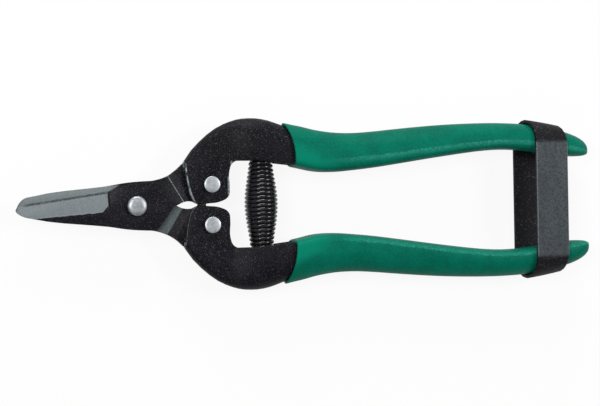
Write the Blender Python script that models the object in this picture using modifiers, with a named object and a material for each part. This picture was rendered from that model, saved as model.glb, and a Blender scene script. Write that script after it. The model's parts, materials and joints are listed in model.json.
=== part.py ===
"""Floral snips: two stamped blades on folded sheet-steel handles, riveted at one pivot, sprung open
by a barrel coil, with green vinyl grips and a keeper strap round the handle ends.

Both halves are the same part. The upper half is drawn with the pivot at its origin, +X towards the
handles and +Z towards the viewer, and the lower half is that part turned half a turn about X.
Run it with blender --background --python part.py
"""
import math

import bmesh
import bpy
from mathutils import Matrix, Vector

MM = 0.001

# Blades
BLADE_THICKNESS = 2.2 * MM
BLADE_GAP = 0.3 * MM
BLADE_LENGTH = 37.5 * MM
TIP_DROP = 0.4 * MM
NOSE_DEPTH = 5.2 * MM
NOSE_HALF_WIDTH = 3.5 * MM
NOSE_ROUND_SHARE = 0.3
NOSE_EDGE_SHARE = 0.62
NOSE_SPINE_SHARE = 0.68
HEEL_X = -9.0 * MM
HEEL_HALF_WIDTH = 6.35 * MM
NECK_X = 6.2 * MM
NECK_HALF_WIDTH = 7.9 * MM
NECK_BLEND = 2.0 * MM
NECK_BOW_X = -1.8 * MM
NECK_BOW = 0.45 * MM
SHOULDER_RUN = 3.4 * MM
SHOULDER_RISE = 1.15 * MM
SHOULDER_TURN_RUN = 6.5 * MM
SHOULDER_TURN_RISE = 3.0 * MM
SHOULDER_SETBACK = 0.55 * MM
# Blade outline under the shell: from the shoulder to the tang's end, and from there to the throat
TANG_TOP_X = 20.5 * MM
TANG_MARGIN = 4.0 * MM
TANG_CORNER = 3.0 * MM
TANG_FOLD_ROOM = 3.3 * MM
THROAT = [(19.0, 1.45), (16.0, 1.3), (12.2, 0.2), (9.6, -3.7)]
EDGE_LAND = 0.18 * MM
GRIND_DROP = 7.7 * MM
GRIND_ANGLE = math.radians(10.0)
BEVEL_ANGLE = math.radians(26.5)
BEVEL_WIDTH = 2.0 * MM
BEVEL_RUN_OUT = 2.4 * MM
JOGGLE_START = 13.3 * MM
JOGGLE_LENGTH = 2.6 * MM
JOGGLE_ANGLE = math.radians(31.5)

# Rivets, washer and the clearance between pieces that touch
SEAT_GAP = 0.25 * MM
PIVOT_SHANK_RADIUS = 2.4 * MM
PIVOT_HEAD_RADIUS = 3.1 * MM
PIVOT_HEAD_HEIGHT = 1.5 * MM
WASHER_RADIUS = 3.9 * MM
WASHER_THICKNESS = 0.7 * MM
TANG_RIVET_X = 24.0 * MM
TANG_RIVET_Y = 6.4 * MM
TANG_SHANK_RADIUS = 1.8 * MM
TANG_HEAD_RADIUS = 2.6 * MM
TANG_HEAD_HEIGHT = 1.1 * MM
# A head's profile from its crown to its seat, as shares of its radius and height
HEAD_DOME = [(0.0, 1.0), (0.45, 0.95), (0.78, 0.78), (1.0, 0.42), (1.0, 0.0)]

# Folded handle shell
SHEET = 1.2 * MM
CHANNEL_HALF_HEIGHT = 5.2 * MM
FOLD_REACH = 6.5 * MM
PINCH_END_X = 28.5 * MM
CHANNEL_START_X = 38.5 * MM
STOP_GAP = 0.15 * MM
SHELL_START_X = 13.0 * MM
SHELL_END_X = 146.0 * MM
RIM_FLAT = 1.4 * MM
RIM_FLAT_MARGIN = 0.42 * MM
# Outer edge of the folded shell and its open inner rim, as (x, y) seen from the front
SPINE = [(14.0, 11.4), (18.1, 17.4), (25.0, 23.6), (31.8, 26.7), (37.4, 27.4), (42.5, 26.8), (48.0, 25.0),
         (54.0, 23.3), (60.8, 21.6), (70.3, 20.9), (88.4, 22.4), (101.4, 23.4), (118.4, 23.9), (131.3, 23.3),
         (145.5, 20.6), (152.5, 18.4)]
RIM = [(31.0, 13.3), (34.5, 13.9), (43.6, 13.5), (51.2, 12.1), (60.0, 11.1), (73.7, 11.95), (84.0, 13.3),
       (100.5, 15.7), (117.5, 17.7), (128.0, 17.7), (146.0, 15.3), (152.5, 14.3)]
RIM_START_X = 31.0 * MM
RIM_CORNER = 3.5 * MM
# The shell's sheared front edge, from above its fold down to the stop, and the lug beside the rivet
SHEARED_EDGE = [(13.4, 17.5), (15.6, 12.6), (16.3, 6.9), (18.1, 1.3)]
STOP_X = 19.6 * MM
STOP_LENGTH = 2.5 * MM
STOP_STEP = 0.5 * MM
LUG_X = 29.8 * MM
LUG_FOOT = [(27.0, 1.05), (29.4, 2.6), (29.8, 5.0)]
LUG_TOP_Y = 10.6 * MM
LUG_SWEEP = 1.3 * MM
BLANK_MARGIN = 4.0 * MM
BLANK_KNEE_X = 22.0 * MM

# Grips
GRIP_WALL = 1.1 * MM
GRIP_CLEARANCE = 0.3 * MM
GRIP_MOUTH_X = 49.2 * MM
GRIP_MOUTH_SLANT = 0.19
GRIP_SLANT_FADE = 24.0 * MM
GRIP_TIP = 6.5 * MM
GRIP_END_ROUND = 11.0 * MM
RIDGE_CORNER = 2.8 * MM
GRIP_ROUNDNESS = 3.2
POCKET_ROUNDNESS = 9.0
GRIP_TIP_SHARE = 0.12
GRIP_TIP_POWER = 0.7

# Return spring and the studs that carry it
SPRING_X = 40.6 * MM
SPRING_HALF_LENGTH = 17.0 * MM
SPRING_END_RADIUS = 3.3 * MM
SPRING_BELLY_RADIUS = 4.9 * MM
SPRING_WIRE = 1.0 * MM
SPRING_TURNS = 24
STUD_FLANGE = 0.9 * MM
STUD_PEG_RADIUS = 2.2 * MM
STUD_PEG_LENGTH = 2.5 * MM
STUD_STEM_RADIUS = 1.6 * MM
STUD_FLANGE_INSET = 0.3 * MM
PEG_TIP_SHARE = 0.6
SPRING_BARREL_POWER = 1.3
SPRING_CLOSING = 0.06

# Keeper strap
STRAP_X = 130.8 * MM
STRAP_WIDTH = 11.0 * MM
STRAP_THICKNESS = 1.2 * MM
STRAP_CLEARANCE = 0.35 * MM
STRAP_SKEW = 0.13

# Facets, the spacing of sections, and how far a cutter passes beyond what it cuts
ARC_STEPS = 5
ROUND_SEGMENTS = 24
SPRING_STEPS = 10
PINCH_STEP = 2.6 * MM
LOBE_STEP = 2.1 * MM
GRIP_STEP = 6.5 * MM
SHELL_STEP = 7.0 * MM
RIM_STEP = 14.0 * MM
OVERCUT = 4.0 * MM
TRIM = 1.0 * MM

for old in list(bpy.data.objects):
    bpy.data.objects.remove(old, do_unlink=True)

parts = bpy.data.collections.new("floral_snips")
cutters = bpy.data.collections.new("cutters")
bpy.context.scene.collection.children.link(parts)
bpy.context.scene.collection.children.link(cutters)

blade_centre_z = (BLADE_GAP + BLADE_THICKNESS) / 2
pinch_half_height = BLADE_THICKNESS / 2 + SEAT_GAP + SHEET
grip_growth = GRIP_WALL + GRIP_CLEARANCE
strap_half_depth = CHANNEL_HALF_HEIGHT + grip_growth + STRAP_CLEARANCE + STRAP_THICKNESS
grip_end_x = SHELL_END_X + GRIP_TIP
pivot_place = Vector(((BLADE_LENGTH - grip_end_x) / 2, 0, strap_half_depth))


def along(points, x):
    """Height at x of a smooth curve through (x, y) points in mm, which runs straight on past its end."""
    pts = [(px * MM, py * MM) for px, py in points]
    last = len(pts) - 2
    i = next((k for k in range(last + 1) if x <= pts[k + 1][0]), last)
    (x0, y0), (x1, y1) = pts[i], pts[i + 1]
    before, after = pts[max(i - 1, 0)], pts[min(i + 2, len(pts) - 1)]
    span = x1 - x0
    m0 = (y1 - before[1]) / (x1 - before[0]) * span
    m1 = (after[1] - y0) / (after[0] - x0) * span
    t = (x - x0) / span
    if t > 1:
        return y1 + m1 * (t - 1)
    return ((2 * t**3 - 3 * t**2 + 1) * y0 + (t**3 - 2 * t**2 + t) * m0
            + (3 * t**2 - 2 * t**3) * y1 + (t**3 - t**2) * m1)


def smoothstep(low, high, x):
    t = min(max((x - low) / (high - low), 0), 1)
    return t * t * (3 - 2 * t)


def stations(start, end, step):
    count = max(2, round((end - start) / step))
    return [start + (end - start) * k / count for k in range(count + 1)]


def material(name, colour, metallic, roughness):
    made = bpy.data.materials.new(name)
    made.use_nodes = True
    shader = made.node_tree.nodes["Principled BSDF"]
    shader.inputs["Base Color"].default_value = (*colour, 1)
    shader.inputs["Metallic"].default_value = metallic
    shader.inputs["Roughness"].default_value = roughness
    made.diffuse_color = (*colour, 1)
    return made


def add_object(name, mesh, parent, finish=None):
    obj = bpy.data.objects.new(name, mesh)
    obj.parent = parent
    if finish:
        mesh.materials.clear()
        mesh.materials.append(finish)
        parts.objects.link(obj)
    else:
        obj.hide_render = True
        obj.display_type = "WIRE"
        cutters.objects.link(obj)
    return obj


def mesh_from(bm, name):
    bmesh.ops.remove_doubles(bm, verts=bm.verts[:], dist=0.001 * MM)
    bmesh.ops.recalc_face_normals(bm, faces=bm.faces[:])
    mesh = bpy.data.meshes.new(name)
    bm.to_mesh(mesh)
    bm.free()
    mesh.shade_smooth()
    mesh.set_sharp_from_angle(angle=math.radians(35))
    return mesh


def evaluated_mesh(obj, name):
    """The object's mesh with its modifiers applied; the object itself is removed."""
    bpy.context.view_layer.update()
    graph = bpy.context.evaluated_depsgraph_get()
    made = bpy.data.meshes.new_from_object(obj.evaluated_get(graph))
    bm = bmesh.new()
    bm.from_mesh(made)
    bpy.data.objects.remove(obj, do_unlink=True)
    bpy.data.meshes.remove(made)
    return mesh_from(bm, name)


def flat_plate(name, points, half_thickness):
    """A flat outline of (x, y, round) points: a Bezier curve, filled and extruded both ways."""
    curve = bpy.data.curves.new(name, "CURVE")
    curve.dimensions = "2D"
    curve.fill_mode = "BOTH"
    curve.extrude = half_thickness
    curve.resolution_u = ARC_STEPS
    spline = curve.splines.new("BEZIER")
    spline.bezier_points.add(len(points) - 1)
    spline.use_cyclic_u = True
    for knot, (x, y, is_round) in zip(spline.bezier_points, points):
        knot.co = (x, y, 0)
        knot.handle_left_type = knot.handle_right_type = "AUTO" if is_round else "VECTOR"
    return evaluated_mesh(add_object(name, curve, None), name)


def round_bar(name, radius, low, high):
    bm = bmesh.new()
    bmesh.ops.create_cone(bm, cap_ends=True, segments=ROUND_SEGMENTS, radius1=radius, radius2=radius,
                          depth=high - low)
    bmesh.ops.translate(bm, vec=(0, 0, (low + high) / 2), verts=bm.verts[:])
    return mesh_from(bm, name)


def turned(name, profile):
    """A closed body turned about Z from (radius, z) points that run from the axis's top to its bottom."""
    bm = bmesh.new()
    ring = [bm.verts.new((r, 0, z)) for r, z in profile]
    for a, b in zip(ring, ring[1:]):
        bm.edges.new((a, b))
    mesh = bpy.data.meshes.new(name)
    bm.to_mesh(mesh)
    bm.free()
    obj = add_object(name, mesh, None)
    screw = obj.modifiers.new("turn", "SCREW")
    screw.steps = screw.render_steps = ROUND_SEGMENTS
    screw.use_merge_vertices = True
    screw.merge_threshold = 0.001 * MM
    return evaluated_mesh(obj, name)


def loft(sections, name, closed=True, caps=True):
    """A skin through rings of points, one ring for each station, with a cap on each end if asked."""
    bm = bmesh.new()
    rings = [[bm.verts.new(p) for p in ring] for ring in sections]
    count = len(rings[0])
    for low, high in zip(rings, rings[1:]):
        for k in range(count if closed else count - 1):
            n = (k + 1) % count
            bm.faces.new((low[k], low[n], high[n], high[k]))
    if caps:
        bm.faces.new(rings[0])
        bm.faces.new(rings[-1])
    return mesh_from(bm, name)


def apply_boolean(mesh, cutter_mesh, operation, solver="EXACT"):
    """The mesh after one Boolean with a cutter, which stays in the cutters' collection."""
    target = add_object(mesh.name, mesh, None)
    cut = target.modifiers.new("cut", "BOOLEAN")
    cut.operation = operation
    cut.solver = solver
    cut.object = add_object(cutter_mesh.name, cutter_mesh, None)
    return evaluated_mesh(target, mesh.name)


# Blade: a stamped plate with a joggle that brings its tang to the middle plane
def blade_outline():
    """The blade from its tip along the cutting edge, round the tang and back along the spine."""
    nose_x = -BLADE_LENGTH + NOSE_DEPTH
    cheek_x = -BLADE_LENGTH + NOSE_ROUND_SHARE * NOSE_DEPTH
    tang_low = SHEET + SEAT_GAP
    tang_end = TANG_RIVET_X + TANG_MARGIN
    tang_round = tang_end - TANG_CORNER
    shell_x = SHEARED_EDGE[1][0] * MM
    shoulder_x = shell_x - SHOULDER_SETBACK
    (low_x, low_y), (inside_x, inside_y), (throat_x, throat_y), (cut_x, cut_y) = THROAT
    return [
        (-BLADE_LENGTH, -TIP_DROP, False),
        (cheek_x, NOSE_HALF_WIDTH * NOSE_EDGE_SHARE, True),
        (nose_x, NOSE_HALF_WIDTH, True),
        (HEEL_X, HEEL_HALF_WIDTH, False),
        (NECK_X - NECK_BLEND, NECK_HALF_WIDTH - NECK_BOW / 2, True),
        (NECK_X + SHOULDER_RUN, NECK_HALF_WIDTH + SHOULDER_RISE, True),
        (NECK_X + SHOULDER_TURN_RUN, NECK_HALF_WIDTH + SHOULDER_TURN_RISE, True),
        (shoulder_x, along(SPINE, shoulder_x), False),
        (shell_x - SEAT_GAP, along(SPINE, shell_x) - TANG_FOLD_ROOM, False),
        (TANG_TOP_X, along(SPINE, TANG_TOP_X) - TANG_FOLD_ROOM, True),
        (tang_round, along(SPINE, tang_round) - TANG_FOLD_ROOM, True),
        (tang_end, TANG_RIVET_Y + TANG_CORNER, True),
        (tang_end, TANG_RIVET_Y - TANG_CORNER / 2, True),
        (tang_round, tang_low + NECK_BOW, True),
        (low_x * MM, low_y * MM, True),
        (inside_x * MM, inside_y * MM, True),
        (throat_x * MM, throat_y * MM, False),
        (cut_x * MM, cut_y * MM, True),
        (NECK_X, -NECK_HALF_WIDTH, False),
        (NECK_BOW_X, -NECK_HALF_WIDTH + NECK_BOW, True),
        (HEEL_X, -HEEL_HALF_WIDTH, True),
        (nose_x, -NOSE_HALF_WIDTH, True),
        (cheek_x, -NOSE_HALF_WIDTH * NOSE_SPINE_SHARE, True),
    ]


def grinding_cutter(name, start, along_edge, across, climb, length, depth):
    """A block whose lower face lies on a grinding plane: it climbs from start along the across direction."""
    bm = bmesh.new()
    bmesh.ops.create_cube(bm, size=1)
    bmesh.ops.translate(bm, vec=(0.5, 0.5, 0.5), verts=bm.verts[:])
    edge = Vector((*along_edge, 0)).normalized() * length
    inward = Vector((*across, 0)).normalized() * depth
    inward.z = depth * math.tan(climb)
    basis = Matrix((edge, inward, Vector((0, 0, 4 * BLADE_THICKNESS)))).transposed()
    bmesh.ops.transform(bm, matrix=Matrix.Translation(start) @ basis.to_4x4(), verts=bm.verts[:])
    return mesh_from(bm, name)


def make_blade():
    half = BLADE_THICKNESS / 2
    mesh = flat_plate("blade", blade_outline(), half)
    nose_x = -BLADE_LENGTH + NOSE_DEPTH
    edge = Vector((nose_x - HEEL_X, NOSE_HALF_WIDTH - HEEL_HALF_WIDTH))
    edge.normalize()
    inward = Vector((-edge.y, edge.x))
    heel = Vector((HEEL_X, HEEL_HALF_WIDTH))
    reach = 2 * BLADE_LENGTH
    # The primary grind reaches the full thickness at a line well below the edge
    base_height = BLADE_THICKNESS - GRIND_DROP * math.tan(GRIND_ANGLE)
    start = heel - inward * OVERCUT
    primary = grinding_cutter("primary_grind", (*start, base_height - half - OVERCUT * math.tan(GRIND_ANGLE)),
                              edge, inward, GRIND_ANGLE, reach, GRIND_DROP + 2 * OVERCUT)
    mesh = apply_boolean(mesh, primary, "DIFFERENCE")
    # The edge bevel's end leans forward, by its run-out for each bevel width across
    run_out = inward * BEVEL_WIDTH + edge * BEVEL_RUN_OUT
    start = heel - edge * BEVEL_RUN_OUT - run_out * (OVERCUT / BEVEL_WIDTH)
    slope = math.atan(math.tan(BEVEL_ANGLE) * (run_out.normalized() @ inward))
    bevel = grinding_cutter("edge_bevel", (*start, EDGE_LAND - half - OVERCUT * math.tan(BEVEL_ANGLE)),
                            edge, run_out, slope, reach, 3 * OVERCUT)
    mesh = apply_boolean(mesh, bevel, "DIFFERENCE")
    for name, radius, place in (
            ("blade_pivot_hole", PIVOT_SHANK_RADIUS + SEAT_GAP, (0, 0)),
            ("blade_tang_hole", TANG_SHANK_RADIUS + SEAT_GAP, (TANG_RIVET_X, TANG_RIVET_Y))):
        hole = round_bar(name, radius, -2 * BLADE_THICKNESS, 2 * BLADE_THICKNESS)
        hole.transform(Matrix.Translation((*place, 0)))
        mesh = apply_boolean(mesh, hole, "DIFFERENCE")
    bm = bmesh.new()
    bm.from_mesh(mesh)
    bpy.data.meshes.remove(mesh)
    across = Vector((math.cos(JOGGLE_ANGLE), math.sin(JOGGLE_ANGLE), 0))
    for distance in (JOGGLE_START, JOGGLE_START + JOGGLE_LENGTH):
        bmesh.ops.bisect_plane(bm, geom=bm.verts[:] + bm.edges[:] + bm.faces[:], dist=0.001 * MM,
                               plane_co=across * distance, plane_no=across)
    for vert in bm.verts:
        share = (vert.co @ across - JOGGLE_START) / JOGGLE_LENGTH
        vert.co.z += blade_centre_z * (1 - min(max(share, 0), 1))
    return mesh_from(bm, "blade")


# Handle shell: one sheet folded along its outer edge, pinched flat on the tang and open inwards
def shell_height(x):
    opening = smoothstep(PINCH_END_X, CHANNEL_START_X, x)
    return pinch_half_height + (CHANNEL_HALF_HEIGHT - pinch_half_height) * opening


def fold_reach(x):
    """How far the rounded fold runs in from the outer edge before the flange is flat."""
    width = along(SPINE, x) - along(RIM, max(x, RIM_START_X))
    open_reach = min(FOLD_REACH, width - RIM_FLAT - RIM_FLAT_MARGIN)
    return pinch_half_height + (open_reach - pinch_half_height) * smoothstep(PINCH_END_X, CHANNEL_START_X, x)


def fold_arc(x, growth):
    """(y, z) from the outer edge to the flat of the front flange, for the shell grown by a wall."""
    reach = fold_reach(x)
    spine = along(SPINE, x)
    height = shell_height(x) + growth
    turns = [math.pi / 2 * k / ARC_STEPS for k in range(ARC_STEPS + 1)]
    return [(spine - reach + (reach + growth) * math.cos(a), height * math.sin(a)) for a in turns]


def shell_section(x):
    arc = fold_arc(x, 0)
    low = -TRIM if x < CHANNEL_START_X else along(RIM, x) - TRIM
    flange_y, flange_z = arc[-1]
    flat = [(flange_y + (low - flange_y) * k / 3, flange_z) for k in (1, 2, 3)]
    front = arc[1:] + flat
    back = [(y, -z) for y, z in reversed(front)]
    return [(x, y, z) for y, z in back + arc[:1] + front]


def shell_blank():
    """Outline that the folded sheet is trimmed to, with the lug, the stop and the window for the spring."""
    rim_xs = stations(RIM_START_X + RIM_CORNER, SHELL_END_X, RIM_STEP)
    sheared = [(x * MM, y * MM, k > 1) for k, (x, y) in enumerate(SHEARED_EDGE)]
    return [
        *sheared,
        (STOP_X, STOP_GAP, False),
        (STOP_X + STOP_LENGTH, STOP_GAP, False),
        (STOP_X + STOP_LENGTH, STOP_GAP + STOP_STEP, False),
        *[(x * MM, y * MM, True) for x, y in LUG_FOOT],
        (LUG_X, LUG_TOP_Y, True),
        (LUG_X + LUG_SWEEP, along(RIM, RIM_START_X), True),
        *[(x, along(RIM, x), x < SHELL_END_X) for x in rim_xs],
        (SHELL_END_X, along(SPINE, SHELL_END_X) + BLANK_MARGIN, False),
        (SPRING_X, along(SPINE, SPRING_X) + BLANK_MARGIN, False),
        (BLANK_KNEE_X, along(SPINE, BLANK_KNEE_X) + 2 * BLANK_MARGIN, False),
    ]


def make_shell():
    xs = stations(SHELL_START_X, PINCH_END_X, PINCH_STEP) + stations(PINCH_END_X, GRIP_MOUTH_X, LOBE_STEP)[1:]
    xs += stations(GRIP_MOUTH_X, SHELL_END_X + TRIM, SHELL_STEP)[1:]
    skin = loft([shell_section(x) for x in xs], "shell_skin", closed=False, caps=False)
    top = max(skin.polygons, key=lambda face: face.center.z)
    if top.normal.z < 0:
        skin.flip_normals()
    obj = add_object("shell_skin", skin, None)
    wall = obj.modifiers.new("sheet", "SOLIDIFY")
    wall.thickness = SHEET
    wall.offset = -1
    wall.use_even_offset = True
    mesh = evaluated_mesh(obj, "shell")
    blank = flat_plate("shell_blank", shell_blank(), 2 * CHANNEL_HALF_HEIGHT)
    mesh = apply_boolean(mesh, blank, "INTERSECT", "MANIFOLD")
    hole = round_bar("shell_tang_hole", TANG_SHANK_RADIUS + SEAT_GAP, -CHANNEL_HALF_HEIGHT,
                     CHANNEL_HALF_HEIGHT)
    hole.transform(Matrix.Translation((TANG_RIVET_X, TANG_RIVET_Y, 0)))
    return apply_boolean(mesh, hole, "DIFFERENCE", "MANIFOLD")


# Grip: a vinyl sleeve of even wall over the shell, closed round the open side of the channel
def grip_ring(x, growth, corner_power, slant=0):
    """Closed (x, y, z) ring round the shell: the fold, the flat flange and a rounded inner corner."""
    arc = fold_arc(x, growth)
    height = arc[-1][1]
    inner = along(RIM, x) - growth
    corner = RIDGE_CORNER * growth / grip_growth
    turns = [math.pi / 2 * k / ARC_STEPS for k in range(ARC_STEPS + 1)]
    bend = 2 / corner_power
    rim = [(inner + corner - corner * math.sin(a) ** bend, height * math.cos(a) ** bend) for a in turns]
    front = arc[1:] + rim[:-1]
    half = front + [(inner, 0)]
    back = [(y, -z) for y, z in reversed(front)]
    middle = (along(SPINE, GRIP_MOUTH_X) + along(RIM, GRIP_MOUTH_X)) / 2
    lean = slant * (1 - smoothstep(0, GRIP_SLANT_FADE, x - GRIP_MOUTH_X))
    return [(x + lean * (middle - y), y, z) for y, z in arc[:1] + half + back]


def make_grip():
    body_xs = stations(GRIP_MOUTH_X, grip_end_x - GRIP_END_ROUND, GRIP_STEP)
    body = [grip_ring(x, grip_growth, GRIP_ROUNDNESS, GRIP_MOUTH_SLANT) for x in body_xs]
    cap_turns = [math.pi / 2 * k / (ARC_STEPS - 1) for k in range(1, ARC_STEPS)]
    for a in cap_turns:
        x = grip_end_x - GRIP_END_ROUND * (1 - math.sin(a))
        shrink = max(math.cos(a), GRIP_TIP_SHARE) ** GRIP_TIP_POWER
        middle = (along(SPINE, x) + along(RIM, x)) / 2
        ring = grip_ring(x, grip_growth, GRIP_ROUNDNESS)
        body.append([(px, middle + (py - middle) * shrink, pz * shrink) for px, py, pz in ring])
    sleeve = loft(body, "grip")
    pocket_xs = stations(GRIP_MOUTH_X - OVERCUT, SHELL_END_X + GRIP_CLEARANCE, GRIP_STEP)
    pocket = loft([grip_ring(x, GRIP_CLEARANCE, POCKET_ROUNDNESS) for x in pocket_xs], "grip_pocket")
    return apply_boolean(sleeve, pocket, "DIFFERENCE")


# Rivets, washer and spring studs
def domed_head(radius, base, height):
    """(radius, z) points of a low domed head from its crown down to its seat."""
    return [(r * radius, base + h * height) for r, h in HEAD_DOME]


def mirrored_profile(profile):
    return [(r, -z) for r, z in reversed(profile)]


def make_tang_rivet():
    head = domed_head(TANG_HEAD_RADIUS, pinch_half_height + SEAT_GAP, TANG_HEAD_HEIGHT)
    head.append((TANG_SHANK_RADIUS, pinch_half_height + SEAT_GAP))
    return turned("tang_rivet", head + mirrored_profile(head))


def make_pivot_rivet():
    face = BLADE_GAP / 2 + BLADE_THICKNESS + SEAT_GAP
    front = domed_head(PIVOT_HEAD_RADIUS, face, PIVOT_HEAD_HEIGHT) + [(PIVOT_SHANK_RADIUS, face)]
    rear_face = face + WASHER_THICKNESS + SEAT_GAP
    rear = domed_head(PIVOT_HEAD_RADIUS, rear_face, PIVOT_HEAD_HEIGHT) + [(PIVOT_SHANK_RADIUS, rear_face)]
    return turned("pivot_rivet", front + mirrored_profile(rear))


def make_washer():
    low = -(BLADE_GAP / 2 + BLADE_THICKNESS + SEAT_GAP + WASHER_THICKNESS)
    high = low + WASHER_THICKNESS
    inner = PIVOT_SHANK_RADIUS + SEAT_GAP
    ring = [(WASHER_RADIUS, high), (WASHER_RADIUS, low), (inner, low), (inner, high), (WASHER_RADIUS, high)]
    return turned("pivot_washer", ring)


def make_spring_stud():
    """A turned stud that stands on the inside of the fold: stem, flange for the coil's end, and a peg."""
    seat = SPRING_HALF_LENGTH + SEAT_GAP
    inside_height = shell_height(SPRING_X) - SHEET
    fold_drop = fold_reach(SPRING_X) * (1 - math.sqrt(1 - (STUD_STEM_RADIUS / inside_height) ** 2))
    root = along(SPINE, SPRING_X) - SHEET - SEAT_GAP - fold_drop
    flange_radius = SPRING_END_RADIUS + SPRING_WIRE / 2 - STUD_FLANGE_INSET
    peg_top = seat - STUD_PEG_LENGTH
    profile = [(0, root), (STUD_STEM_RADIUS, root), (STUD_STEM_RADIUS, seat + STUD_FLANGE),
               (flange_radius, seat + STUD_FLANGE), (flange_radius, seat), (STUD_PEG_RADIUS, seat),
               (STUD_PEG_RADIUS, peg_top + (1 - PEG_TIP_SHARE) * STUD_PEG_RADIUS),
               (PEG_TIP_SHARE * STUD_PEG_RADIUS, peg_top), (0, peg_top)]
    mesh = turned("spring_stud", profile)
    mesh.transform(Matrix.Translation((SPRING_X, 0, 0)) @ Matrix.Rotation(-math.pi / 2, 4, "X"))
    return mesh


def make_spring():
    """Barrel coil along Y: closed end turns, wider in the belly."""
    count = SPRING_TURNS * SPRING_STEPS
    rise = SPRING_HALF_LENGTH - SPRING_WIRE / 2
    curve = bpy.data.curves.new("return_spring", "CURVE")
    curve.dimensions = "3D"
    curve.bevel_depth = SPRING_WIRE / 2
    curve.bevel_resolution = 1
    curve.use_fill_caps = True
    spline = curve.splines.new("POLY")
    spline.points.add(count)
    for k, point in enumerate(spline.points):
        t = 2 * k / count - 1
        angle = 2 * math.pi * k / SPRING_STEPS
        swell = (1 - t * t) ** SPRING_BARREL_POWER
        radius = SPRING_END_RADIUS + (SPRING_BELLY_RADIUS - SPRING_END_RADIUS) * swell
        y = rise * t * (1 + SPRING_CLOSING * (1 - t * t))
        point.co = (SPRING_X + radius * math.cos(angle), y, radius * math.sin(angle), 1)
    return evaluated_mesh(add_object("return_spring", curve, None), "return_spring")


# Keeper strap: one closed band round both grips, tapered with them and a little skewed
def strap_ring(x, growth):
    arc = fold_arc(x, grip_growth + growth)
    front = arc[1:] + [(-y, z) for y, z in reversed(arc[1:])]
    back = [(y, -z) for y, z in reversed(front)]
    ring = arc[:1] + front + [(-arc[0][0], 0)] + back
    return [(x + STRAP_SKEW * z, y, z) for y, z in ring]


def make_strap():
    outer = STRAP_CLEARANCE + STRAP_THICKNESS
    xs = stations(STRAP_X, STRAP_X + STRAP_WIDTH, STRAP_WIDTH / 4)
    band = [strap_ring(x, STRAP_CLEARANCE) for x in xs] + [strap_ring(x, outer) for x in reversed(xs)]
    return loft(band + band[:1], "strap", caps=False)


black_steel = material("black_coated_steel", (0.02, 0.02, 0.022), 0.6, 0.42)
blade_steel = material("ground_blade_steel", (0.36, 0.36, 0.37), 0.9, 0.32)
rivet_steel = material("bright_rivet_steel", (0.40, 0.42, 0.43), 0.9, 0.35)
spring_steel = material("black_spring_steel", (0.015, 0.015, 0.016), 0.7, 0.35)
vinyl = material("green_vinyl", (0.004, 0.15, 0.095), 0.0, 0.4)
strap_vinyl = material("strap_vinyl", (0.06, 0.07, 0.075), 0.0, 0.6)

pivot = bpy.data.objects.new("pivot", None)
pivot.location = pivot_place
parts.objects.link(pivot)
halves = {}
for name, turn in (("upper", 0), ("lower", math.pi)):
    halves[name] = bpy.data.objects.new(name + "_half", None)
    halves[name].parent = pivot
    halves[name].rotation_euler = (turn, 0, 0)
    parts.objects.link(halves[name])

for piece, mesh, finish in (("handle_shell", make_shell(), black_steel),
                            ("tang_rivet", make_tang_rivet(), rivet_steel),
                            ("spring_stud", make_spring_stud(), rivet_steel), ("grip", make_grip(), vinyl)):
    for name, half in halves.items():
        made = add_object(f"{name}_{piece}", mesh, half, finish)
        if piece == "tang_rivet":
            made.location = (TANG_RIVET_X, TANG_RIVET_Y, 0)

blade_mesh = make_blade()
add_object("front_blade", blade_mesh, halves["upper"], blade_steel)
add_object("rear_blade", blade_mesh, halves["lower"], blade_steel)
add_object("pivot_rivet", make_pivot_rivet(), pivot, rivet_steel)
add_object("pivot_washer", make_washer(), pivot, rivet_steel)
add_object("return_spring", make_spring(), pivot, spring_steel)
add_object("strap", make_strap(), pivot, strap_vinyl)
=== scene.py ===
"""Dresses the floral snips: coated and ground steel, dipped vinyl grips, a coil spring and a keeper strap."""

import json
import math

import bmesh
import bpy
from mathutils import Matrix, Vector
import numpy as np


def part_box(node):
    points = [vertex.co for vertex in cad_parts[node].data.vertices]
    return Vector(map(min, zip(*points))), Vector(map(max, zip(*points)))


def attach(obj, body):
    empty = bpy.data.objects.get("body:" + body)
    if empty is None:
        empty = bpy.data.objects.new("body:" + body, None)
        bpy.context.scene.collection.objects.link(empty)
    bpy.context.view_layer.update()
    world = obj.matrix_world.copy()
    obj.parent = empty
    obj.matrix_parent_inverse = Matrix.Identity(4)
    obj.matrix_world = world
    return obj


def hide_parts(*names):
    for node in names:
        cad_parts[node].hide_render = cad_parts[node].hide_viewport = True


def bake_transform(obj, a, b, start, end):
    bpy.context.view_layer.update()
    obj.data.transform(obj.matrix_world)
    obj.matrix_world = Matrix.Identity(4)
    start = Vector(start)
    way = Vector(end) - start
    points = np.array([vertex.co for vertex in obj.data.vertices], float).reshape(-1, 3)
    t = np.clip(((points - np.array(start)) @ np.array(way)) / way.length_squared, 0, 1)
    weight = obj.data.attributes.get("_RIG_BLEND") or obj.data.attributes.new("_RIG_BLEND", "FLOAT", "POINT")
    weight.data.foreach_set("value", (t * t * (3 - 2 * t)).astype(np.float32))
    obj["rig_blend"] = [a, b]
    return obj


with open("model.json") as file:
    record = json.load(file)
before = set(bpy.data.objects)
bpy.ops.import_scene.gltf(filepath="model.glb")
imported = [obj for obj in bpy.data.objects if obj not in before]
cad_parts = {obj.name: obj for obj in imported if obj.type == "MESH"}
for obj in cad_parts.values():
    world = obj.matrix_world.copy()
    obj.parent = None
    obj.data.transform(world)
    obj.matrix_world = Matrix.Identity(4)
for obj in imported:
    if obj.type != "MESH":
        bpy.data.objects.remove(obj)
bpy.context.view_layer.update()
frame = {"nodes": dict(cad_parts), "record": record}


# Handle shells: each is one steel sheet folded along its outer edge and pinched flat on the blade's tang.
# The press leaves a rounded fold, the trimmed rims stay square, and a thin black coat covers everything
# but the handled edges, where bare steel shows through; these bare edge lines are also painted highlight,
# for edges that catch the light.
MM = 0.001
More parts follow.
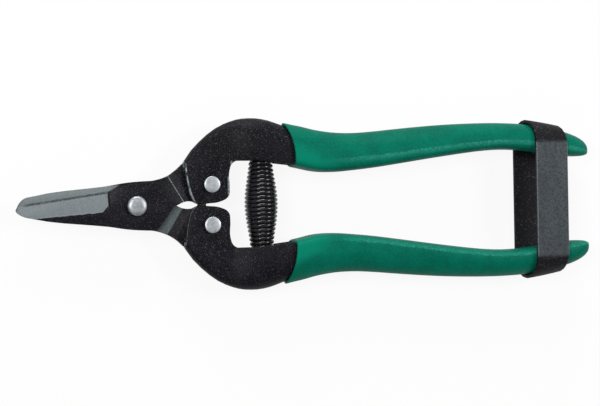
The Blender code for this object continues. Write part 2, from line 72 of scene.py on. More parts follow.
pivot_point = Vector(frame["record"]["behaviour"]["joints"][0]["pos_m"])


class Field:
    """A socket in a material: arithmetic on it adds Math nodes, and add() makes any other node."""

    def __init__(self, tree, socket=None):
        self.tree = tree
        self.socket = socket

    def add(self, kind, settings=None, inputs=None, out=0):
        """A node of this kind with its settings, then its sockets' values or links; gives one output."""
        node = self.tree.nodes.new(kind)
        for name, value in (settings or {}).items():
            setattr(node, name, value)
        for name, value in (inputs or {}).items():
            if isinstance(value, Field):
                self.tree.links.new(value.socket, node.inputs[name])
            else:
                node.inputs[name].default_value = value
        return Field(self.tree, node.outputs[out])

    def math(self, operation, first, second=0.0):
        return self.add("ShaderNodeMath", {"operation": operation}, {0: first, 1: second})

    def __add__(self, other):
        return self.math("ADD", self, other)

    def __sub__(self, other):
        return self.math("SUBTRACT", self, other)

    def __rsub__(self, other):
        return self.math("SUBTRACT", other, self)

    def __mul__(self, other):
        return self.math("MULTIPLY", self, other)

    def __abs__(self):
        return self.math("ABSOLUTE", self)

    __radd__ = __add__
    __rmul__ = __mul__

    def larger(self, other):
        return self.math("MAXIMUM", self, other)

    def smaller(self, other):
        return self.math("MINIMUM", self, other)

    def ramp(self, low, high, start=0.0, end=1.0):
        """A smooth step from start, at low, to end, at high."""
        return self.add("ShaderNodeMapRange", {"interpolation_type": "SMOOTHSTEP"},
                        {0: self, 1: low, 2: high, 3: start, 4: end})

    def fall(self, low, high):
        """A smooth step down from 1, at low, to 0, at high."""
        return self.ramp(low, high, 1.0, 0.0)

    def tint(self, dark, light):
        """Mixes two colours by this value; 6, 7 and 2 are the Mix node's colour sockets."""
        return self.add("ShaderNodeMix", {"data_type": "RGBA"},
                        {"Factor": self, 6: colour_input(dark), 7: colour_input(light)}, out=2)


def colour_input(value):
    return value if isinstance(value, Field) else (*value, 1.0)


class Finish(Field):
    """A material with one Principled shader, read in millimetres from the pivot in a half's own sense."""

    def __init__(self, name, **constants):
        self.material = bpy.data.materials.new(name)
        self.material.use_nodes = True
        super().__init__(self.material.node_tree)
        self.shader = self.tree.nodes["Principled BSDF"]
        for socket, value in constants.items():
            self.shader.inputs[socket.replace("_", " ")].default_value = value
        self.place = self.add("ShaderNodeTexCoord", out="Object")

    def vector(self, operation, first, second, out=0):
        return self.add("ShaderNodeVectorMath", {"operation": operation}, {0: first, 1: second}, out)

    def local(self, half="upper"):
        """x, y and z in millimetres from the pivot; the lower half is the upper one turned about X."""
        sense = 1 if half == "upper" else -1
        centred = self.vector("SUBTRACT", self.place, pivot_point)
        scaled = self.vector("MULTIPLY", centred, (1 / MM, sense / MM, sense / MM))
        return [self.add("ShaderNodeSeparateXYZ", None, {0: scaled}, out=axis) for axis in range(3)]

    def noise(self, size, detail=3.0, stretch=(1, 1, 1), roughness=0.55):
        """Noise from 0 to 1 with features of about this size in millimetres, stretched along the axes."""
        spread = self.vector("MULTIPLY", self.place, [1 / (size * s * MM) for s in stretch])
        return self.add("ShaderNodeTexNoise", None,
                        {"Vector": spread, "Scale": 1.0, "Detail": detail, "Roughness": roughness})

    def attribute(self, name):
        """A number kept on the mesh; output 2 is the Attribute node's factor."""
        return self.add("ShaderNodeAttribute", {"attribute_name": name}, None, out=2)

    def wire(self, socket, value):
        self.tree.links.new(value.socket, self.shader.inputs[socket])

    def bump(self, height, distance, strength=0.5):
        """Relief of this depth in millimetres."""
        self.wire("Normal", self.add("ShaderNodeBump", None, {"Height": height, "Distance": distance * MM,
                                                              "Strength": strength}))


def add_piece(name, bm, finish, body, node, smooth_angle=40):
    """Turns a bmesh into a finished piece that rides on a body and stands for a CAD node."""
    mesh = bpy.data.meshes.new(name)
    bm.to_mesh(mesh)
    bm.free()
    mesh.shade_smooth()
    mesh.set_sharp_from_angle(angle=math.radians(smooth_angle))
    piece = bpy.data.objects.new(name, mesh)
    bpy.context.scene.collection.objects.link(piece)
    mesh.materials.append(finish.material)
    if body:
        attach(piece, body)
    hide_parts(node)
    return piece


merge_gap = 0.002 * MM
sliver = 0.0005 * MM
flat_angle = math.radians(0.8)


def softened_copy(node, width, sharp_angle=38, segments=2):
    """The node's solid with its sharp edges rounded; the rounded strips are marked, for edge wear and for
    painted glints on lit edges.
    """
    bm = bmesh.new()
    bm.from_mesh(frame["nodes"][node].data)
    bmesh.ops.remove_doubles(bm, verts=bm.verts[:], dist=merge_gap)
    bmesh.ops.dissolve_limit(bm, angle_limit=flat_angle, verts=bm.verts[:], edges=bm.edges[:])
    edge_wear_and_glint = bm.faces.layers.float.new("edge_wear_and_glint")
    limit = math.radians(sharp_angle)
    sharp = [e for e in bm.edges if len(e.link_faces) == 2 and e.calc_face_angle(0) > limit]
    made = bmesh.ops.bevel(bm, geom=sharp, offset=width * MM, offset_type="OFFSET", segments=segments,
                           profile=0.5, affect="EDGES", clamp_overlap=True, material=-1)
    for face in made["faces"]:
        face[edge_wear_and_glint] = 1.0
    bmesh.ops.dissolve_degenerate(bm, dist=sliver, edges=bm.edges[:])
    bmesh.ops.remove_doubles(bm, verts=bm.verts[:], dist=sliver)
    return bm


coat_black = (0.0018, 0.0016, 0.003)
coat_grey = (0.0066, 0.0061, 0.0092)
coat_fleck = (0.062, 0.06, 0.074)
bare_edge_and_glint = (0.21, 0.25, 0.26)
fleck_size = 0.36
small_cloud = 0.8
large_cloud = 8.0


def coat_colour(finish):
    """Black coating with soft grey clouds and scattered pale flecks; gives its colour and its relief."""
    fleck = finish.noise(fleck_size, 1.0).ramp(0.56, 0.78)
    cloud = finish.noise(small_cloud) * 0.5 + finish.noise(large_cloud) * 0.5
    clouded = cloud.ramp(0.35, 0.68).tint(coat_black, coat_grey)
    return fleck.tint(clouded, coat_fleck), cloud + fleck * 0.4


# The sheared front edge is a shallow arc, and the lug beside the window ends at a straight edge
shear_x = 15.62
shear_top_y = 12.6
shear_low_y = 6.9
shear_lean = -0.1228
shear_bow = 0.0176
lug_x = 29.8
lug_low_y = 3.5
lug_top_y = (8.8, 10.2)
rub_and_glint_end_x = (30.5, 31.0)
rub_and_glint_end_y = (13.4, 14.0)
front_face_z = (1.9, 2.3)


def coated_steel(name, half):
    finish = Finish(name, Specular_IOR_Level=0.1)
    x, y, z = finish.local(half)
    colour, relief = coat_colour(finish)
    # The bare strips along the sheared front edge and the lug's edge are partly wear and partly painted
    # highlight, where those edges catch the light
    below_top = y - shear_top_y
    from_shear = x - (shear_x + below_top * shear_lean + below_top * (y - shear_low_y) * shear_bow)
    from_lug = (lug_x - x).larger(lug_low_y - y) + y.ramp(*lug_top_y)
    rub_and_painted_light = from_shear.fall(0.3, 0.5).larger(from_lug.fall(0.42, 0.75))
    rub_and_painted_light = rub_and_painted_light * y.fall(*rub_and_glint_end_y) * z.ramp(*front_face_z) * x.fall(*rub_and_glint_end_x)
    wear_and_glint = finish.attribute("edge_wear_and_glint").larger(rub_and_painted_light) * finish.noise(1.1, 4.0).ramp(0.33, 0.6)
    finish.wire("Base Color", wear_and_glint.tint(colour, bare_edge_and_glint))
    finish.wire("Metallic", wear_and_glint * 0.4)
    finish.wire("Roughness", 0.44 + relief * 0.12 - wear_and_glint * 0.06)
    finish.bump(relief * 0.5 + finish.noise(0.2, 2.0) * 0.5, 0.03)
    return finish


# Cut faces are bare only round the lug, as wear and as painted highlight on edges that catch the light; the
# rest of the pinched end keeps its coat
shell_edge = 0.2
sheared_zone_x = 32.0
sheared_zone_y = (0.9, 13.6)
cut_face_slope = 0.3
# The stops meet; their front end is drawn out to a point and the slot behind them is pinched
stop_gap = 0.2
stop_touch = 0.004
stop_end_x = 20.8
stop_lead = 1.35
stop_draw = 0.9
slot_start_x = 22.0
slot_end_x = 27.6
slot_pinch = 0.35
slot_bend = 1.3
for half, sense in (("upper", 1), ("lower", -1)):
    node = f"{half}_handle_shell"
    bm = softened_copy(node, shell_edge)
    edge_wear_and_glint = bm.faces.layers.float["edge_wear_and_glint"]
    for face in bm.faces:
        centre = (face.calc_center_median() - pivot_point) / MM
        in_zone = centre.x < sheared_zone_x and sheared_zone_y[0] < centre.y * sense < sheared_zone_y[1]
        if in_zone and abs(face.normal.z) < cut_face_slope:
            face[edge_wear_and_glint] = 1.0
        elif centre.x < sheared_zone_x and not in_zone:
            face[edge_wear_and_glint] = 0.0
    for vert in bm.verts:
        x, y, z = (vert.co - pivot_point) / MM
        rise = y * sense
        if x < stop_end_x and rise < stop_lead:
            x += stop_draw * (1 - rise / stop_lead)
        elif x < slot_end_x and stop_gap < rise < stop_lead:
            rise -= slot_pinch * (1 - (x - slot_start_x) / (slot_end_x - slot_start_x)) ** slot_bend
        rise = stop_touch if rise < stop_gap else rise
        vert.co = pivot_point + Vector((x, rise * sense, z)) * MM
    black_coat = coated_steel(f"{half}_black_coat", half)
    add_piece(f"{half}_shell_skin", bm, black_coat, f"{half}_half", node)


# Blades: stamped plate, coated black and then ground bare along the edge. The ground zone has a long flat
# grind, a narrow brighter edge bevel and a dark line where the two meet; the faces that slide on each
# other are ground bare as well.
ground_steel = (0.195, 0.224, 0.235)
ground_dull = (0.13, 0.15, 0.158)
bevel_steel = (0.145, 0.163, 0.17)
bevel_dull = (0.1, 0.113, 0.118)
# The sliding faces' steel is darker than the ground zone as painted shade, for the rear blade's face lying
# under the front blade
sliding_steel = (0.125, 0.15, 0.158)
sliding_dull = (0.06, 0.074, 0.08)
dark_marks = (0.03, 0.031, 0.034)
border_slope = 0.0747
border_y = -1.09
bevel_slope = 0.1433
bevel_y = 5.66
flat_end_x = -9.0
flat_corner_y = 0.2
flat_corner_lean = 0.9
bevel_end_x = -5.9
bevel_end_y = 6.4
bevel_end_lean = 1.6
dirt_start_x = (-36.4, -33.4)
edge_wear_x = (4.0, 8.0)
joggle_turn = math.radians(31.5)
joggle_start = 13.3
sliding_z = (0.2, 0.3)
sliding_low_y = (-6.5, -6.0)
bend_face_z = (1.6, 2.0)


def blade_finish(half):
    finish = Finish(f"{half}_blade_steel", Specular_IOR_Level=0.12)
    x, y, z = finish.local(half)
    coat, relief = coat_colour(finish)
    ragged = finish.noise(0.8, 4.0) - 0.5
    grain = finish.noise(0.5, 4.0)
    lines = finish.noise(0.25, stretch=(1.0, 26.0, 26.0))
    shine = (grain * 0.65 + lines * 0.35).ramp(0.3, 0.7)
    # The ground zone: above a ragged border, left of an end that curves away along the edge bevel
    border = y - (x * border_slope + border_y) + ragged * 0.75
    flat_end = flat_end_x - x - (flat_corner_y - y).larger(0) * flat_corner_lean + ragged * 0.3
    bevel_end = bevel_end_x - x + (y - bevel_end_y) * bevel_end_lean + ragged * 0.3
    over_bevel = y - (x * bevel_slope + bevel_y)
    on_bevel = over_bevel.ramp(-0.08, 0.08)
    zone = border.ramp(-0.07, 0.07) * flat_end.larger(bevel_end).ramp(-0.06, 0.08)
    # The sliding face is ground up to the joggle, whose first bend is painted as a bright line, partly wear
    # on the bend and partly painted highlight where it catches the light
    from_bend = x * math.cos(joggle_turn) + y * math.sin(joggle_turn) - joggle_start
    sliding = z.fall(*sliding_z) * from_bend.fall(-0.1, 0.1) * y.ramp(*sliding_low_y)
    bend_line = abs(from_bend).fall(0.06, 0.24) * z.ramp(*bend_face_z) * grain.ramp(0.3, 0.55)
    edge_wear = finish.attribute("edge_wear_and_glint") * finish.noise(1.4, 4.0).ramp(0.5, 0.66) * x.ramp(*edge_wear_x)
    wear_and_glint = edge_wear.larger(bend_line) * 0.7
    # A dark line along the meeting of flat and bevel, with dark spots scattered over the ground zone
    dark_seam = abs(over_bevel + ragged * 0.4).fall(0.2, 0.5) * x.ramp(*dirt_start_x)
    # A painted highlight: the flat grind is lighter in a thin band along the ground zone's border
    border_highlight = border.ramp(0.05, 0.15) * border.fall(0.2, 0.5)
    spots = finish.noise(0.5, 2.0).ramp(0.68, 0.74) * 0.5
    dark_marks_mask = (dark_seam * finish.noise(0.6).ramp(0.25, 0.5)).larger(spots) * zone
    flat = (shine * 0.8 + border_highlight * 0.5).smaller(1).tint(ground_dull, ground_steel)
    ground = on_bevel.tint(flat, shine.tint(bevel_dull, bevel_steel))
    steel = sliding.tint(ground, shine.tint(sliding_dull, sliding_steel))
    bare = zone.larger(sliding)
    colour = wear_and_glint.tint(bare.tint(coat, steel), bare_edge_and_glint)
    finish.wire("Base Color", (dark_marks_mask * 0.85).tint(colour, dark_marks))
    finish.wire("Metallic", bare * 0.22)
    finish.wire("Roughness", bare.ramp(0, 1, 0.42, 0.5) + shine * 0.08)
    finish.bump(relief * 0.3 * (1 - bare) + lines * 0.25 * bare + (1 - bare) * 0.5, 0.03)
    return finish


blade_edge = 0.07
blade_sharp_angle = 30
# Each blade's throat edge is hollowed to an arc, so the two leave a lens-shaped opening
throat_x = 16.75
throat_half_length = 3.85
throat_rise = 1.2
throat_run = (12.0, 22.0)
throat_band = (-0.4, 1.6)
throat_front_y = -0.3
throat_back_y = 0.15
# Both tips are ground back together from above, which leaves the point low
tip_grind_x = -33.3
tip_grind_run = 4.2
tip_grind_drop = 1.3
tip_grind_depth = 3.0
for half, node, sense in (("upper", "front_blade", 1), ("lower", "rear_blade", -1)):
    bm = softened_copy(node, blade_edge, blade_sharp_angle)
    for vert in bm.verts:
        x, y, _ = (vert.co - pivot_point) / MM
        arc = throat_rise * (1 - ((x - throat_x) / throat_half_length) ** 2)
        arc = max(arc, throat_front_y if x < throat_x else throat_back_y)
        if throat_run[0] < x < throat_run[1] and throat_band[0] < y * sense < throat_band[1]:
            vert.co.y = pivot_point.y + min(y * sense, arc) * sense * MM
        run = max((tip_grind_x - x) / tip_grind_run, 0)
        share = min(max(1 + y / tip_grind_depth, 0), 1)
        vert.co.y -= tip_grind_drop * run**2 * share * MM
    add_piece(f"{node}_steel", bm, blade_finish(half), f"{half}_half", node)


# Rivets, washer and spring studs: cold-headed or turned steel, left bright, with turning marks on the heads.
# The pivot rivet is peened over the washer behind, and each tang rivet has a head on both sides.
rivet_bright = (0.49, 0.525, 0.55)
rivet_dull = (0.37, 0.395, 0.415)
pivot_light = (0.44, 0.47, 0.495)
pivot_dark = (0.27, 0.29, 0.305)
turning_rate = 21.0
head_steps = 8
head_segments = 56
head_fullness = 0.6
head_edge = 0.08 * MM


def rivet_finish(name, centre, bright=rivet_bright, dull=rivet_dull):
    finish = Finish(name, Metallic=0.9)
    from_axis = finish.vector("SUBTRACT", finish.place, (centre.x, centre.y, 0))
    across = finish.vector("MULTIPLY", from_axis, (1 / MM, 1 / MM, 0))
    radius = finish.add("ShaderNodeVectorMath", {"operation": "LENGTH"}, {0: across}, out="Value")
    rings = finish.math("SINE", radius * turning_rate) * 0.5 + 0.5
    smudge = finish.noise(1.3, 4.0)
    tone = (smudge.ramp(0.3, 0.7) * 0.75 + rings * 0.15).smaller(1)
    finish.wire("Base Color", tone.tint(dull, bright))
    finish.wire("Roughness", 0.36 + smudge * 0.14)
    finish.bump(rings * 0.5 + finish.noise(0.5, 2.0) * 0.5, 0.008)
    return finish


def turned_rivet(node, shank, head, shoulder):
    """A rivet turned about Z in its node's box: two low domed heads on a shank."""
    low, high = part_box(node)
    centre = (low + high) / 2
    radius = (high.x - low.x) / 2
    dome = [math.pi / 2 * k / head_steps for k in range(head_steps, -1, -1)]
    head_profile = [(radius * max(math.cos(a), 0) ** head_fullness, (head - shoulder) * (1 - math.sin(a)))
                    for a in dome]
    head_profile += [(radius, head - head_edge), (radius - head_edge, head), (shank, head)]
    profile = [(r, high.z - drop) for r, drop in head_profile]
    profile += [(r, low.z + drop) for r, drop in reversed(head_profile)]
    bm = bmesh.new()
    verts = [bm.verts.new((centre.x + r, centre.y, z)) for r, z in profile]
    edges = [bm.edges.new(pair) for pair in zip(verts, verts[1:])]
    bmesh.ops.spin(bm, geom=verts + edges, cent=centre, axis=(0, 0, 1), angle=2 * math.pi,
                   steps=head_segments, use_merge=True)
    bmesh.ops.remove_doubles(bm, verts=bm.verts[:], dist=merge_gap)
    bmesh.ops.recalc_face_normals(bm, faces=bm.faces[:])
    return bm, centre


tang_shank = 1.82 * MM
tang_head = 1.1 * MM
tang_shoulder = 0.8 * MM
pivot_shank = 2.17 * MM
pivot_head = 1.5 * MM
pivot_shoulder = 0.6 * MM
washer_edge = 0.08
stud_edge = 0.1
for half in ("upper", "lower"):
    node = f"{half}_tang_rivet"
    bm, centre = turned_rivet(node, tang_shank, tang_head, tang_shoulder)
    tang_bright = rivet_finish(f"{node}_bright", centre)
    add_piece(f"{node}_steel", bm, tang_bright, f"{half}_half", node)
bm, centre = turned_rivet("pivot_rivet", pivot_shank, pivot_head, pivot_shoulder)
pivot_bright = rivet_finish("pivot_rivet_bright", centre, pivot_light, pivot_dark)
add_piece("pivot_rivet_steel", bm, pivot_bright, "lower_half", "pivot_rivet")
bm = softened_copy("pivot_washer", washer_edge)
add_piece("pivot_washer_steel", bm, pivot_bright, "lower_half", "pivot_washer")
for half in ("upper", "lower"):
    node = f"{half}_spring_stud"
    bm = softened_copy(node, stud_edge)
    add_piece(f"{node}_steel", bm, pivot_bright, f"{half}_half", node)


# Return spring: hard-drawn black wire wound as a barrel, small at the ends where it sits on its studs.
# The wire is smooth and oily, so each turn shows short bright lines.
spring_dark = (0.006, 0.006, 0.008)
spring_sheen = (0.013, 0.013, 0.016)
spring_low, spring_high = (Vector(corner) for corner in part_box("return_spring"))
spring_centre = (spring_low + spring_high) / 2
wire_radius = 0.66 * MM
wire_segments = 12
spring_turns = 24
steps_per_turn = 30
end_radius = 3.05 * MM
belly_radius = (spring_high.x - spring_low.x) / 2 - wire_radius
barrel_power = 2.3
half_rise = (spring_high.y - spring_low.y) / 2 - wire_radius
# The middle turns lie closest; this share of the half length opens the end turns
end_opening = 0.03

spring_black = Finish("spring_black", Specular_IOR_Level=0.42)
oil = spring_black.noise(2.2)
spring_black.wire("Base Color", oil.ramp(0.35, 0.7).tint(spring_dark, spring_sheen))
spring_black.wire("Roughness", 0.06 + oil * 0.08)
spring_black.bump(spring_black.noise(0.25, 2.0), 0.012)

total_steps = spring_turns * steps_per_turn
quarter_turn = Matrix.Rotation(math.pi / 2, 3, "X")
bm = bmesh.new()
ring = bmesh.ops.create_circle(bm, cap_ends=True, segments=wire_segments, radius=wire_radius)
bmesh.ops.translate(bm, vec=(end_radius, 0, 0), verts=ring["verts"])
bmesh.ops.rotate(bm, cent=(0, 0, 0), matrix=quarter_turn, verts=bm.verts[:])
bmesh.ops.rotate(bm, cent=(end_radius, 0, 0), matrix=quarter_turn, verts=bm.verts[:])
bmesh.ops.translate(bm, vec=(0, -half_rise, 0), verts=bm.verts[:])
bmesh.ops.spin(bm, geom=bm.faces[:], cent=(0, 0, 0), axis=(0, 1, 0),
               dvec=(0, 2 * half_rise / total_steps, 0), angle=2 * math.pi * spring_turns, steps=total_steps)
bmesh.ops.recalc_face_normals(bm, faces=bm.faces[:])
for vert in bm.verts:
    t = min(max(vert.co.y / half_rise, -1), 1)
    out = Vector((vert.co.x, 0, vert.co.z))
    swell = (belly_radius - end_radius) * (1 - t * t) ** barrel_power
    opening = -half_rise * end_opening * t * (1 - t * t)
    vert.co = spring_centre + out * (1 + swell / out.length) + Vector((0, vert.co.y + opening, 0))
spring = add_piece("return_spring_coil", bm, spring_black, None, "return_spring", 60)
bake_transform(spring, "lower_half", "upper_half", start=spring_centre + Vector((0, -half_rise, 0)),
         end=spring_centre + Vector((0, half_rise, 0)))


# Grips: the handles are dipped in soft green vinyl, which sets as one even skin with a rounded lip at its
# mouth and a smooth closed end. It is semi-gloss and slightly mottled, with a painted highlight along the
# open side and painted light on the flat behind the mouth.
vinyl_deep = (0.0, 0.085, 0.053)
vinyl_bright = (0.0, 0.146, 0.094)
vinyl_painted_highlight = (0.02, 0.215, 0.155)
vinyl_painted_light = (0.0, 0.19, 0.12)
mottle_size = 7.0
grain_size = 0.5
drag_size = 1.6
# The painted highlight's height over the open side, at the two ends of its run; it differs between the halves
# with the light from above
highlight_line_rise = {"upper": (4.0, 2.9), "lower": (2.1, 1.9)}
highlight_run_x = (72.0, 115.0)
highlight_start_x = (58.0, 76.0)
saddle_x = 49.0
saddle_lean = 0.42
saddle_edge_y = (17.5, 21.5)
saddle_end_x = (55.0, 67.0)


def vinyl_finish(name, half):
    finish = Finish(name, Specular_IOR_Level=0.05)
    x, y, z = finish.local(half)
    mottle = finish.noise(mottle_size, 4.0)
    fine = finish.noise(grain_size)
    drag = finish.noise(drag_size, stretch=(9.0, 1.0, 1.0))
    tone = (mottle.ramp(0.3, 0.7) * 0.4 + drag * 0.2 + fine.ramp(0.38, 0.62) * 0.45).smaller(1)
    # A painted highlight lies along the open side: a paler band with a bright line on the side away from the
    # edge
    near, far = highlight_line_rise[half]
    start, end = highlight_run_x
    line_rise = finish.add("ShaderNodeMapRange", None, {0: x, 1: start, 2: end, 3: near, 4: far})
    from_line = finish.attribute("rise") - line_rise
    grit = finish.noise(grain_size, stretch=(1.5, 1.0, 1.0)).ramp(0.35, 0.65)
    band = from_line.ramp(-1.9, -0.3) * from_line.fall(-0.1, 0.25) * (0.25 + grit * 0.5)
    line = abs(from_line).fall(0.12, 0.38) * grit
    rub_and_painted_light = band.larger(line) * x.ramp(*highlight_start_x) * abs(z).ramp(1.0, 2.0)
    # The flat behind the mouth is painted lighter, as painted light that the flat catches
    saddle = (y + (x - saddle_x) * saddle_lean).fall(*saddle_edge_y)
    saddle = saddle * x.fall(*saddle_end_x) * abs(z).ramp(2.0, 5.0)
    skin = (saddle * 0.75).tint(tone.tint(vinyl_deep, vinyl_bright), vinyl_painted_light)
    finish.wire("Base Color", rub_and_painted_light.tint(skin, vinyl_painted_highlight))
    finish.wire("Roughness", 0.40 + fine * 0.12 + drag.ramp(0.5, 0.8) * 0.06)
    finish.bump(fine * 0.25 + drag * 0.3 + mottle * 0.45, 0.06)
    return finish


# The skin's outline is read off the upper handle's solid, in millimetres from the pivot
first_cut = 52.0
cut_step = 6.4
cut_count = 15
skin_wall = 1.1
mouth_x = 49.2
mouth_lean = 0.19
mouth_hollow = 1.1
mouth_fade = 22.0
lip_radius = 0.55
lip_taper = 0.85
lip_run = 14.0
fold_width = 7.9
least_flat = 0.05
inner_corner = 2.8
least_corner = 0.4
corner_bend = 2 / 3.2
end_x = (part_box("upper_grip")[1] - pivot_point).x / MM
end_round = 11.0
end_middle = 0.36
end_fullness = 0.62
least_end = 0.1
pocket_end_x = end_x - 6.2


def cut_outline(node, x):
    """Lowest y, highest y and highest z of a node's solid where a plane at x cuts it."""
    bm = bmesh.new()
    bm.from_mesh(frame["nodes"][node].data)
    cut = bmesh.ops.bisect_plane(bm, geom=bm.verts[:] + bm.edges[:] + bm.faces[:],
                                 plane_co=pivot_point + Vector((x * MM, 0, 0)), plane_no=(1, 0, 0))
    points = [(v.co - pivot_point) / MM for v in cut["geom_cut"] if isinstance(v, bmesh.types.BMVert)]
    bm.free()
    return Vector((min(p.y for p in points), max(p.y for p in points), max(p.z for p in points)))


outlines = [cut_outline("upper_grip", first_cut + cut_step * k) for k in range(cut_count)]


def outline_at(x):
    """The outline at any x: smooth between the cuts and straight beyond them."""
    place = (x - first_cut) / cut_step
    i = min(max(int(place), 0), cut_count - 2)
    t = place - i
    a, b, c, d = (outlines[min(max(i + k, 0), cut_count - 1)] for k in (-1, 0, 1, 2))
    if not 0 <= t <= 1:
        return b + (c - b) * t
    return (2 * b + (c - a) * t + (2 * a - 5 * b + 4 * c - d) * t**2 + (3 * b - a - 3 * c + d) * t**3) / 2


def skin_point(x, inset, part, turn):
    """(y, z) on the front of the skin: the outer fold, the flat, or the corner on the open side."""
    thinned = lip_taper * max(1 - (x - mouth_x) / lip_run, 0) ** 2
    inner, outer, height = outline_at(x) + Vector((inset + thinned, -inset, -inset))
    corner = max(inner_corner - 2 * inset, least_corner)
    flat_end = inner + corner
    flat_start = max(outer - fold_width + inset, flat_end + least_flat)
    if part == "fold":
        return flat_start + (outer - flat_start) * math.cos(turn), height * math.sin(turn)
    if part == "flat":
        return flat_start + (flat_end - flat_start) * turn, height
    return flat_end - corner * math.sin(turn) ** corner_bend, height * math.cos(turn) ** corner_bend


quarter = math.pi / 2
fold_steps = 12
flat_steps = 3
corner_steps = 10
front_points = [("fold", quarter * k / fold_steps) for k in range(fold_steps + 1)]
front_points += [("flat", k / flat_steps) for k in range(1, flat_steps)]
front_points += [("corner", quarter * k / corner_steps) for k in range(corner_steps + 1)]


def skin_ring(x, inset):
    """A closed ring round the handle; near the mouth it leans and hollows with the mouth's edge."""
    fade = max(1 - (x - mouth_x) / mouth_fade, 0) ** 2
    inner, outer, _ = outline_at(x)
    half_width = (outer - inner) / 2
    ring = []
    for part, turn in front_points:
        y, _ = skin_point(x, inset, part, turn)
        off_middle = (y - (inner + outer) / 2) / half_width
        lean = mouth_hollow * (1 - off_middle**2) - mouth_lean * off_middle * half_width
        y, z = skin_point(x + lean * fade, inset, part, turn)
        ring.append(Vector((x + lean * fade, y, z)))
    return ring + [Vector((p.x, p.y, -p.z)) for p in reversed(ring[1:-1])]


def shrunk(ring, share):
    """The ring drawn in towards a point near its inner side, for the closed end."""
    low, high = min(p.y for p in ring), max(p.y for p in ring)
    middle = low + end_middle * (high - low)
    return [Vector((p.x, middle + (p.y - middle) * share, p.z * share)) for p in ring]


def skinned(rings, sense):
    """A closed skin through rings given in millimetres from the pivot; sense -1 turns it about X."""
    bm = bmesh.new()
    rise = bm.verts.layers.float.new("rise")
    loops = []
    for ring in rings:
        verts = [bm.verts.new(pivot_point + Vector((p.x, sense * p.y, sense * p.z)) * MM) for p in ring]
        for vert, p in zip(verts, ring):
            vert[rise] = p.y - outline_at(p.x).x
        loops.append([bm.edges.new((a, b)) for a, b in zip(verts, verts[1:] + verts[:1])])
    for first, second in zip(loops, loops[1:]):
        bmesh.ops.bridge_loops(bm, edges=first + second)
    bmesh.ops.holes_fill(bm, edges=loops[0] + loops[-1], sides=0)
    bmesh.ops.recalc_face_normals(bm, faces=bm.faces[:])
    return bm


body_steps = 44
cap_steps = 9
lip_turns = (0.5, 1.0, quarter, math.pi - 1.0, math.pi - 0.5)
body_start = mouth_x + lip_radius
body_length = end_x - end_round - mouth_x - lip_radius
body_xs = [body_start + body_length * k / body_steps for k in range(body_steps + 1)]
cap_turns = [quarter * k / cap_steps for k in range(cap_steps, 0, -1)]
grip_rings = [shrunk(skin_ring(end_x - end_round * (1 - math.sin(a)), 0),
                     max(math.cos(a), least_end) ** end_fullness) for a in cap_turns]
grip_rings += [skin_ring(x, 0) for x in reversed(body_xs)]
grip_rings += [skin_ring(mouth_x + lip_radius * (1 - math.sin(a)), lip_radius * (1 - math.cos(a)))
               for a in lip_turns]
grip_rings += [skin_ring(x, skin_wall) for x in body_xs + [pocket_end_x]]
for half, sense in (("upper", 1), ("lower", -1)):
    add_piece(f"{half}_grip_skin", skinned(grip_rings, sense), vinyl_finish(f"{half}_green_vinyl", half),
              f"{half}_half", f"{half}_grip", 60)


# Keeper strap: a soft black band, moulded as one closed loop and stretched over both handle ends.
# Its face is matt and faintly grained, with rounded cut edges; its flat runs are grey, partly from handling
# and partly as painted light, and its bends stay black as painted shade.
strap_grey = (0.056, 0.066, 0.073)
strap_edge = (0.15, 0.17, 0.18)
strap_dull = (0.041, 0.049, 0.055)
strap_fleck = (0.056, 0.058, 0.065)
strap_black = (0.0038, 0.0038, 0.0055)
strap_pore = (0.028, 0.032, 0.036)
face_depth = 8.0
run_half_length = 19.0
strap_round = 0.28
strap_sharp_angle = 50
strap_segments = 3

strap_band = Finish("strap_band", Specular_IOR_Level=0.16)
_, y, z = strap_band.local()
pebble = strap_band.noise(0.7)
run_blotch = strap_band.noise(5.0, 4.0, stretch=(0.6, 2.2, 1.0)) - 0.5
# Grey on the flat runs and black round the bends: partly handling wear, partly painted light on the runs and
# painted shade on the bends
on_run = (abs(y) + run_blotch * 0.7).fall(run_half_length - 1.0, run_half_length + 0.6)
rub_and_painted_light = abs(z).ramp(face_depth - 0.3, face_depth) * on_run
pores = strap_band.noise(0.55, 2.0).ramp(0.46, 0.64)
grey = pores.tint((run_blotch + 0.5).ramp(0.2, 0.8).tint(strap_dull, strap_grey), strap_pore)
black = strap_band.noise(0.5, 1.0).ramp(0.59, 0.79).tint(strap_black, strap_fleck)
edge_rub = strap_band.attribute("edge_wear_and_glint") * strap_band.noise(0.6).ramp(0.3, 0.55) * 0.75
strap_band.wire("Base Color", rub_and_painted_light.tint(black, edge_rub.tint(grey, strap_edge)))
strap_band.wire("Roughness", 0.52 + pebble * 0.2)
strap_band.bump(pebble * 0.7 + strap_band.noise(0.25, 2.0) * 0.3, 0.07, 0.6)
bm = softened_copy("strap", strap_round, strap_sharp_angle, strap_segments)
add_piece("strap_loop", bm, strap_band, "strap", "strap", 50)


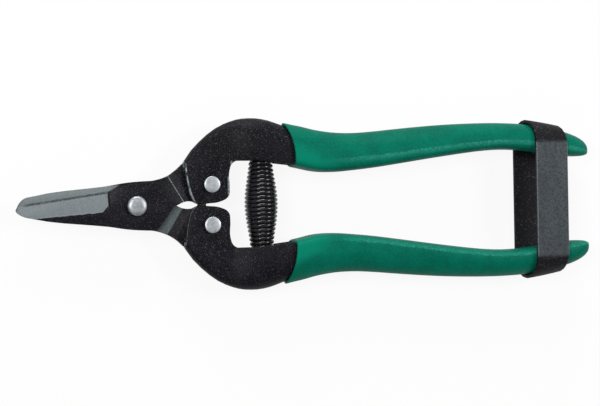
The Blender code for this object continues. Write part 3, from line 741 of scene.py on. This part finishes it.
# Floor, light and camera: a pale sweep, soft boxes from both sides and from beyond the upper handle, and a
# long lens a little left of square, which shows the left-facing edges and the strap's back run.
floor_size = 4
floor_drop = 0.0004
paper_white = 0.75
glow_share = 0.9
bpy.ops.mesh.primitive_plane_add(size=floor_size, location=(0, 0, -floor_drop))
floor = bpy.context.object
floor.name = "floor"
paper = Finish("floor_paper", Roughness=0.9)
paper.shader.inputs["Base Color"].default_value = (paper_white, paper_white, paper_white, 1)
rays = [paper.add("ShaderNodeLightPath", out=name) for name in
        ("Is Camera Ray", "Is Glossy Ray", "Is Transmission Ray")]
seen = rays[0].larger(rays[1]).larger(rays[2])
lit = Field(paper.tree, paper.shader.outputs[0])
white = paper.add("ShaderNodeEmission", None, {"Color": (1, 1, 1, 1), "Strength": 1.0})
mixed = paper.add("ShaderNodeMixShader", None, {0: seen * glow_share, 1: lit, 2: white})
paper.tree.links.new(mixed.socket, paper.tree.nodes["Material Output"].inputs["Surface"])
floor.data.materials.append(paper.material)

studio_strength = 0.36
world = bpy.data.worlds.new("studio")
bpy.context.scene.world = world
world.use_nodes = True
world.node_tree.nodes["Background"].inputs["Color"].default_value = (1, 1, 1, 1)
world.node_tree.nodes["Background"].inputs["Strength"].default_value = studio_strength

# Each soft box's place and width in metres, and its watts
soft_boxes = {
    "left_box": ((-0.40, 0.12, 0.66), 0.26, 2.95),
    "right_box": ((0.55, 0.12, 0.58), 0.26, 2.78),
    "top_box": ((-0.03, 0.66, 0.24), 0.3, 3.2),
}
for name, (place, width, watts) in soft_boxes.items():
    lamp = bpy.data.lights.new(name, "AREA")
    lamp.shape = "SQUARE"
    lamp.size = width
    lamp.energy = watts
    box = bpy.data.objects.new(name, lamp)
    box.location = place
    box.rotation_euler = (-Vector(place)).to_track_quat("-Z", "Y").to_euler()
    bpy.context.scene.collection.objects.link(box)

tilt = math.radians(15.0)
roll = math.radians(1.02)
distance = 0.62
aim = pivot_point + Vector((53.46, 0.03, 0)) * MM
right = Vector((math.cos(tilt), 0, math.sin(tilt)))
upright = Vector((0, 1, 0))
forward = Vector((math.sin(tilt), 0, -math.cos(tilt)))
across = right * math.cos(roll) - upright * math.sin(roll)
up = right * math.sin(roll) + upright * math.cos(roll)
camera_data = bpy.data.cameras.new("photo_camera")
camera_data.lens = 115.8
camera_data.sensor_width = 36.0
camera = bpy.data.objects.new("photo_camera", camera_data)
basis = Matrix((across, up, -forward)).transposed().to_4x4()
camera.matrix_world = Matrix.Translation(aim - forward * distance) @ basis
bpy.context.scene.collection.objects.link(camera)
bpy.context.scene.camera = camera
bpy.context.scene.view_settings.view_transform = "Standard"
